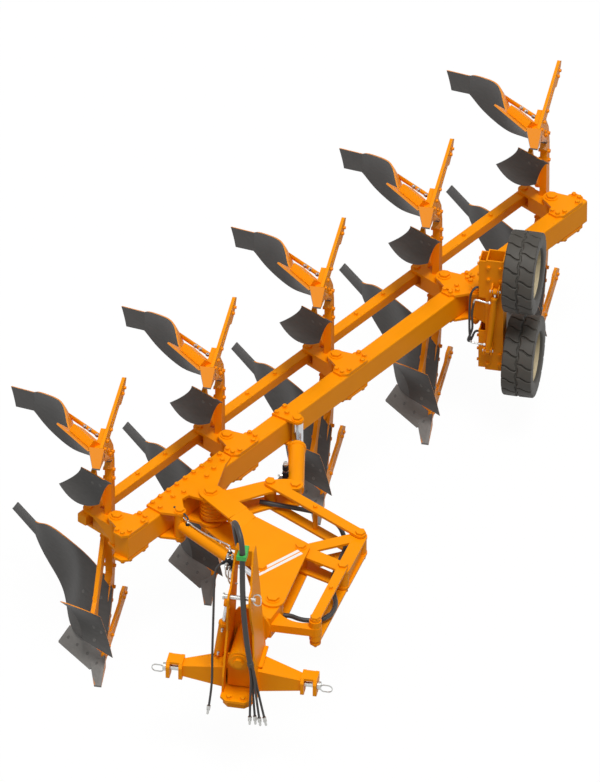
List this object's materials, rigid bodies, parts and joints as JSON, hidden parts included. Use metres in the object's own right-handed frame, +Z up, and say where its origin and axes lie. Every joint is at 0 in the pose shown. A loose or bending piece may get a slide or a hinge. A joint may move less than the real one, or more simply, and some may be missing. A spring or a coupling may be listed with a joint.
{
  "type": "mounted reversible moldboard plough",
  "caption": "Mounted reversible moldboard plough: hitch tower and turnover axle, offset linkage, slanted main beam with pivoting legs, paired plough bodies and twin depth wheels.",
  "frame": {"origin": "ground level under the middle of the object's box", "axes": "+Y rearwards against the direction of travel, +X to the right seen from the front, +Z up"},
  "size_m": [3.5349, 6.3173, 2.0563],
  "materials": {
    "orange_paint": "satin",
    "board_steel": "satin",
    "share_steel": "satin",
    "bright_steel": "polished",
    "rod_chrome": "polished",
    "tyre_rubber": "matte",
    "rim_cream": "satin",
    "hose_rubber": "matte",
    "valve_black": "satin",
    "clamp_green": "gloss"
  },
  "bodies": {
    "headstock": {"headstock_frame": "orange_paint", "axle_housing": "orange_paint", "hitch_pins": "bright_steel", "turnover_cylinder": "orange_paint", "valve_block": "valve_black", "hose_clamp": "clamp_green", "hose_sleeve": "hose_rubber", "hose_lines": "hose_rubber", "hose_couplers": "bright_steel"},
    "turn_head": {"turn_head": "orange_paint", "hose_head": "hose_rubber"},
    "carrier": {"carrier": "orange_paint", "carrier_pins": "orange_paint", "offset_barrel": "orange_paint", "offset_rod": "rod_chrome", "main_beam": "orange_paint", "beam_brackets": "orange_paint", "beam_gussets": "orange_paint", "beam_pins": "orange_paint"},
    "front_link": {"front_link": "orange_paint", "hose_front": "hose_rubber"},
    "swing_lever": {"swing_lever": "orange_paint", "hose_middle": "hose_rubber"},
    "rear_link": {"rear_link": "orange_paint", "hose_rear": "hose_rubber"},
    "rear_lever": {"rear_lever": "orange_paint"},
    "width_barrel": {"width_barrel": "orange_paint"},
    "width_rod": {"width_rod": "rod_chrome"},
    "tie_bar": {"tie_bar": "orange_paint"},
    "wheel_post": {"wheel_post": "orange_paint"},
    "wheel_upper": {"tyre_upper": "tyre_rubber", "rim_upper": "rim_cream"},
    "wheel_lower": {"tyre_lower": "tyre_rubber", "rim_lower": "rim_cream"},
    "leg_1": {"leg_1": "orange_paint", "moldboard_1": "board_steel", "share_1": "share_steel", "landside_1": "orange_paint", "skimmer_1": "board_steel"},
    "leg_2": {"leg_2": "orange_paint", "moldboard_2": "board_steel", "share_2": "share_steel", "landside_2": "orange_paint", "skimmer_2": "board_steel"},
    "leg_3": {"leg_3": "orange_paint", "moldboard_3": "board_steel", "share_3": "share_steel", "landside_3": "orange_paint", "skimmer_3": "board_steel"},
    "leg_4": {"leg_4": "orange_paint", "moldboard_4": "board_steel", "share_4": "share_steel", "landside_4": "orange_paint", "skimmer_4": "board_steel"},
    "leg_5": {"leg_5": "orange_paint", "moldboard_5": "board_steel", "share_5": "share_steel", "landside_5": "orange_paint", "skimmer_5": "board_steel"}
  },
  "joints": [
    {"name": "turnover", "type": "hinge", "parent": "headstock", "child": "turn_head", "pos_m": [0.2815, -2.9515, 1], "axis": [0, 1, 0], "range_deg": [0, 180]},
    {"name": "width_swing", "type": "hinge", "parent": "turn_head", "child": "carrier", "pos_m": [0.4095, -2.4615, 1], "axis": [0, 0, 1], "range_deg": [0, 10]},
    {"name": "front_link_turn", "type": "hinge", "parent": "turn_head", "child": "front_link", "pos_m": [0.7415, -2.6105, 1], "axis": [0, 0, 1], "range_deg": [0, 10]},
    {"name": "swing_lever_turn", "type": "hinge", "parent": "carrier", "child": "swing_lever", "pos_m": [0.4915, -1.8565, 1], "axis": [0, 0, 1], "range_deg": [-10, 0]},
    {"name": "rear_link_turn", "type": "hinge", "parent": "swing_lever", "child": "rear_link", "pos_m": [0.8765, -1.6265, 1], "axis": [0, 0, 1], "range_deg": [0, 10]},
    {"name": "rear_lever_turn", "type": "hinge", "parent": "carrier", "child": "rear_lever", "pos_m": [-0.2455, -1.4165, 1], "axis": [0, 0, 1], "range_deg": [-10, 0]},
    {"name": "width_barrel_turn", "type": "hinge", "parent": "rear_lever", "child": "width_barrel", "pos_m": [0.3155, -1.1515, 1], "axis": [0, 0, 1], "range_deg": [0, 11.9]},
    {"name": "width_rod_slide", "type": "slide", "parent": "width_barrel", "child": "width_rod", "axis": [-0.1724, 0.985, 0], "range_m": [0, 0.1086]},
    {"name": "leg_1_turn", "type": "hinge", "parent": "carrier", "child": "leg_1", "pos_m": [-0.8509, -1.7887, 1], "axis": [0, 0, 1], "range_deg": [-10, 0]},
    {"name": "leg_2_turn", "type": "hinge", "parent": "carrier", "child": "leg_2", "pos_m": [-0.26014, -0.74879, 1], "axis": [0, 0, 1], "range_deg": [-10, 0]},
    {"name": "leg_3_turn", "type": "hinge", "parent": "carrier", "child": "leg_3", "pos_m": [0.33061, 0.29113, 1], "axis": [0, 0, 1], "range_deg": [-10, 0]},
    {"name": "leg_4_turn", "type": "hinge", "parent": "carrier", "child": "leg_4", "pos_m": [0.92137, 1.33104, 1], "axis": [0, 0, 1], "range_deg": [-10, 0]},
    {"name": "leg_5_turn", "type": "hinge", "parent": "carrier", "child": "leg_5", "pos_m": [1.51212, 2.37096, 1], "axis": [0, 0, 1], "range_deg": [-10, 0]},
    {"name": "tie_bar_turn", "type": "hinge", "parent": "leg_1", "child": "tie_bar", "pos_m": [-1.07696, -1.66028, 1], "axis": [0, 0, 1], "range_deg": [0, 10]},
    {"name": "wheel_post_turn", "type": "hinge", "parent": "carrier", "child": "wheel_post", "pos_m": [1.1715, 1.2185, 1], "axis": [0, 0, 1], "range_deg": [-10, 0]},
    {"name": "wheel_upper_spin", "type": "hinge", "parent": "wheel_post", "child": "wheel_upper", "pos_m": [1.5325, 1.1585, 1.381], "axis": [1, 0, 0], "continuous": true},
    {"name": "wheel_lower_spin", "type": "hinge", "parent": "wheel_post", "child": "wheel_lower", "pos_m": [1.5325, 1.1585, 0.619], "axis": [1, 0, 0], "continuous": true}
  ],
  "couplings": [
    {"joint": "front_link_turn", "follows": "width_swing", "ratio": 1},
    {"joint": "swing_lever_turn", "follows": "width_swing", "ratio": -1},
    {"joint": "rear_link_turn", "follows": "width_swing", "ratio": 1},
    {"joint": "rear_lever_turn", "follows": "width_swing", "ratio": -1},
    {"joint": "width_barrel_turn", "follows": "width_swing", "ratio": 1.1398},
    {"joint": "width_rod_slide", "follows": "width_swing", "m_per_rad": 0.61091},
    {"joint": "leg_1_turn", "follows": "width_swing", "ratio": -1},
    {"joint": "leg_2_turn", "follows": "width_swing", "ratio": -1},
    {"joint": "leg_3_turn", "follows": "width_swing", "ratio": -1},
    {"joint": "leg_4_turn", "follows": "width_swing", "ratio": -1},
    {"joint": "leg_5_turn", "follows": "width_swing", "ratio": -1},
    {"joint": "tie_bar_turn", "follows": "width_swing", "ratio": 1},
    {"joint": "wheel_post_turn", "follows": "width_swing", "ratio": -1}
  ]
}
